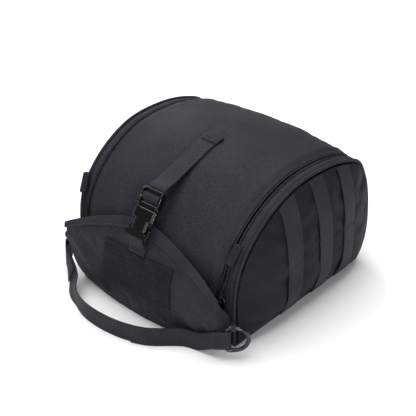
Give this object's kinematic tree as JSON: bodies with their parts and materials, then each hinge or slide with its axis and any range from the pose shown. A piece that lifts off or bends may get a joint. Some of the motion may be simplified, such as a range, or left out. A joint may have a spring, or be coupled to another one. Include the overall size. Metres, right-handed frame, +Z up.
{
  "type": "tactical helmet bag",
  "caption": "Arched padded nylon helmet bag with domed ends, rim zips, a bulging front pocket, a buckled top strap, D-rings and a webbing hand strap.",
  "frame": {"origin": "middle of the base on the floor, halfway between the front and back rim seams", "axes": "+X to the bag's own right in the picture, -Y out of the front pocket, +Z up"},
  "size_m": [0.309, 0.3487, 0.1966],
  "materials": {
    "woven_nylon": "plain woven nylon, coated, matte with a slight sheen",
    "webbing_nylon": "ribbed nylon webbing, slight sheen",
    "loop_pile": "fuzzy loop pile",
    "zip_tape": "woven zip tape with a coil",
    "buckle_plastic": "moulded acetal, semi-gloss",
    "grip_rubber": "soft moulded grip",
    "gunmetal": "dark plated steel wire"
  },
  "bodies": {
    "root": {"lid_panel": "woven_nylon", "front_panel": "woven_nylon", "rear_panel": "woven_nylon", "zip_rear": "zip_tape", "gusset_left": "woven_nylon", "zip_left": "zip_tape", "gusset_right": "woven_nylon", "zip_right": "zip_tape", "side_panel_left": "woven_nylon", "piping_left": "woven_nylon", "side_band_left_1": "webbing_nylon", "side_band_left_2": "webbing_nylon", "side_band_left_3": "webbing_nylon", "side_panel_right": "woven_nylon", "piping_right": "woven_nylon", "side_band_right_1": "webbing_nylon", "side_band_right_2": "webbing_nylon", "side_band_right_3": "webbing_nylon", "base_panel": "woven_nylon", "front_pocket": "woven_nylon", "pocket_hem": "woven_nylon", "loop_patch": "loop_pile", "pocket_floor": "woven_nylon", "buckle_plug": "buckle_plastic", "buckle_socket": "buckle_plastic", "upper_strap": "webbing_nylon", "anchor_tab": "webbing_nylon", "lower_webbing": "webbing_nylon", "d_ring_left": "gunmetal", "ring_keeper_left": "webbing_nylon", "d_ring_right": "gunmetal", "ring_keeper_right": "webbing_nylon", "handle_strap": "webbing_nylon", "slider_left": "gunmetal", "pull_ring_left": "gunmetal", "pull_loop_left": "webbing_nylon", "pull_grip_left": "grip_rubber", "slider_right": "gunmetal", "pull_ring_right": "gunmetal", "pull_loop_right": "webbing_nylon", "pull_grip_right": "grip_rubber"}
  },
  "joints": []
}
